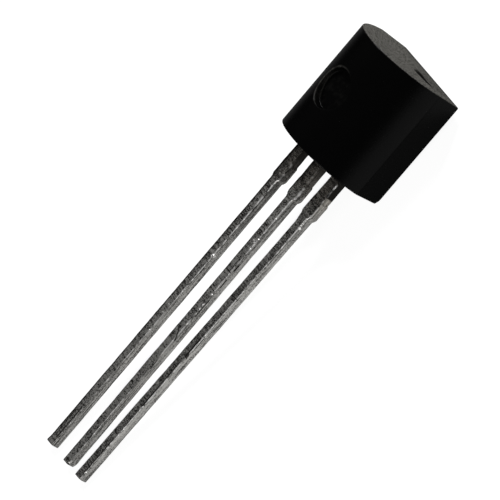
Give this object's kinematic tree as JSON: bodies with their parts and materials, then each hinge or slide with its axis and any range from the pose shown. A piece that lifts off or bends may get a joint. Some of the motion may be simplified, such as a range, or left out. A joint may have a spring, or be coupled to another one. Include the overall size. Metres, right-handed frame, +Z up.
{
  "type": "to-92 transistor",
  "caption": "Transistor in a small moulded case with a round back and a flat front, over a row of straight stamped leads.",
  "frame": {"origin": "middle of the space that the part takes, at the level of the surface it lies on", "axes": "+X along the leads, from their tips to the case; +Y across the row of leads, towards the collector; +Z up, towards the round back. The part lies as it comes to rest, so its leads rise by 4.5 degrees towards the case."},
  "size_m": [0.0194, 0.0046, 0.0037],
  "materials": {
    "moulded_case": "satin",
    "tinned_lead": "satin",
    "silicon_chip": "polished",
    "gold_wire": "polished"
  },
  "bodies": {
    "root": {"case": "moulded_case", "collector_lead": "tinned_lead", "base_lead": "tinned_lead", "emitter_lead": "tinned_lead", "chip": "silicon_chip", "base_wire": "gold_wire", "emitter_wire": "gold_wire"}
  },
  "joints": []
}
